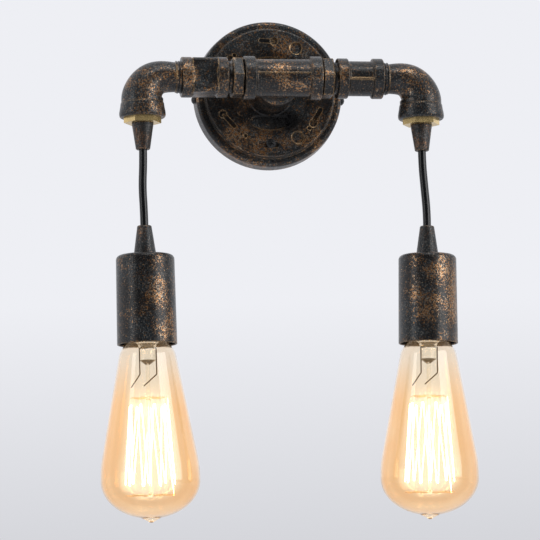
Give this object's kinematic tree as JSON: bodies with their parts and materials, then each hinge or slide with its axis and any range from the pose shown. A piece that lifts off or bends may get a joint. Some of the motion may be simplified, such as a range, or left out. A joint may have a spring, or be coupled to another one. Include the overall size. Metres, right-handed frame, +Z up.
{
  "type": "pipe wall light",
  "caption": "Wall light built from pipe fittings: a round wall plate carries a tee whose side arms each hang a lamp cup with a long clear bulb on a short cord.",
  "frame": {"origin": "middle of the wall plate's back, on the wall, midway between the two screw slots", "axes": "+X to the right seen from the room, +Y into the wall, +Z up"},
  "size_m": [0.2499, 0.1009, 0.3454],
  "materials": {
    "aged_iron": "black with worn copper-brown speckle",
    "bracket_steel": "zinc-plated steel",
    "black_screw": "black oxide",
    "black_thread": "black threads",
    "terminal_plastic": "off-white moulded plastic",
    "brass": "polished brass",
    "core_insulation": "brown insulation",
    "black_grip": "black moulded plastic",
    "cord_sheath": "black PVC sheath",
    "black_cup": "black with worn bronze speckle",
    "ceramic": "unglazed white ceramic",
    "solder": "solder button",
    "black_glass": "black vitrite",
    "amber_glass": "amber-tinted clear glass",
    "clear_glass": "clear glass",
    "lead_wire": "nickel-plated wire",
    "filament": "glowing filament"
  },
  "bodies": {
    "wall_unit": {"wall_bracket": "bracket_steel", "wall_plate": "aged_iron", "side_screws": "black_screw", "face_screw": "black_screw", "terminal_block": "terminal_plastic", "terminal_screws": "brass", "plate_nipple": "black_thread", "plate_lock_nut": "bracket_steel", "tee": "aged_iron", "supply_cores": "core_insulation", "left_hexagon_nipple": "aged_iron", "left_coupling": "aged_iron", "left_elbow": "aged_iron", "left_gland_nut": "brass", "left_upper_grip": "black_grip", "left_inner_lead": "cord_sheath", "right_hexagon_nipple": "aged_iron", "right_coupling": "aged_iron", "right_elbow": "aged_iron", "right_gland_nut": "brass", "right_upper_grip": "black_grip", "right_inner_lead": "cord_sheath"},
    "left_hanging_cord": {"left_cord": "cord_sheath"},
    "left_lamp": {"left_lower_grip": "black_grip", "left_cup": "black_cup", "left_cup_nut": "bracket_steel", "left_lampholder": "ceramic", "left_screw_shell": "brass", "left_centre_contact": "brass", "left_holder_terminals": "brass", "left_holder_lead": "cord_sheath"},
    "left_bulb": {"left_bulb_contact": "solder", "left_bulb_insulator": "black_glass", "left_bulb_cap": "brass", "left_bulb_glass": "amber_glass", "left_bulb_stem": "clear_glass", "left_bulb_leads": "lead_wire", "left_bulb_supports": "lead_wire", "left_bulb_filament": "filament"},
    "right_hanging_cord": {"right_cord": "cord_sheath"},
    "right_lamp": {"right_lower_grip": "black_grip", "right_cup": "black_cup", "right_cup_nut": "bracket_steel", "right_lampholder": "ceramic", "right_screw_shell": "brass", "right_centre_contact": "brass", "right_holder_terminals": "brass", "right_holder_lead": "cord_sheath"},
    "right_bulb": {"right_bulb_contact": "solder", "right_bulb_insulator": "black_glass", "right_bulb_cap": "brass", "right_bulb_glass": "amber_glass", "right_bulb_stem": "clear_glass", "right_bulb_leads": "lead_wire", "right_bulb_supports": "lead_wire", "right_bulb_filament": "filament"}
  },
  "joints": [
    {"name": "left_cord_swing", "type": "hinge", "parent": "wall_unit", "child": "left_hanging_cord", "pos_m": [-0.0937, -0.0685, -0.0488], "axis": [0, 1, 0], "range_deg": [-15, 15], "deforming": ["left_cord"]},
    {"name": "left_lamp_swing", "type": "hinge", "parent": "left_hanging_cord", "child": "left_lamp", "pos_m": [-0.0936, -0.0685, -0.0995], "axis": [1, 0, 0], "range_deg": [-15, 10]},
    {"name": "left_bulb_unscrew", "type": "slide", "parent": "left_lamp", "child": "left_bulb", "axis": [0.0087, 0, -1], "range_m": [0, 0.028]},
    {"name": "right_cord_swing", "type": "hinge", "parent": "wall_unit", "child": "right_hanging_cord", "pos_m": [0.0937, -0.0685, -0.0488], "axis": [0, 1, 0], "range_deg": [-15, 15], "deforming": ["right_cord"]},
    {"name": "right_lamp_swing", "type": "hinge", "parent": "right_hanging_cord", "child": "right_lamp", "pos_m": [0.0958, -0.0685, -0.0995], "axis": [1, 0, 0], "range_deg": [-15, 10]},
    {"name": "right_bulb_unscrew", "type": "slide", "parent": "right_lamp", "child": "right_bulb", "axis": [-0.0166, 0, -0.9999], "range_m": [0, 0.028]}
  ]
}
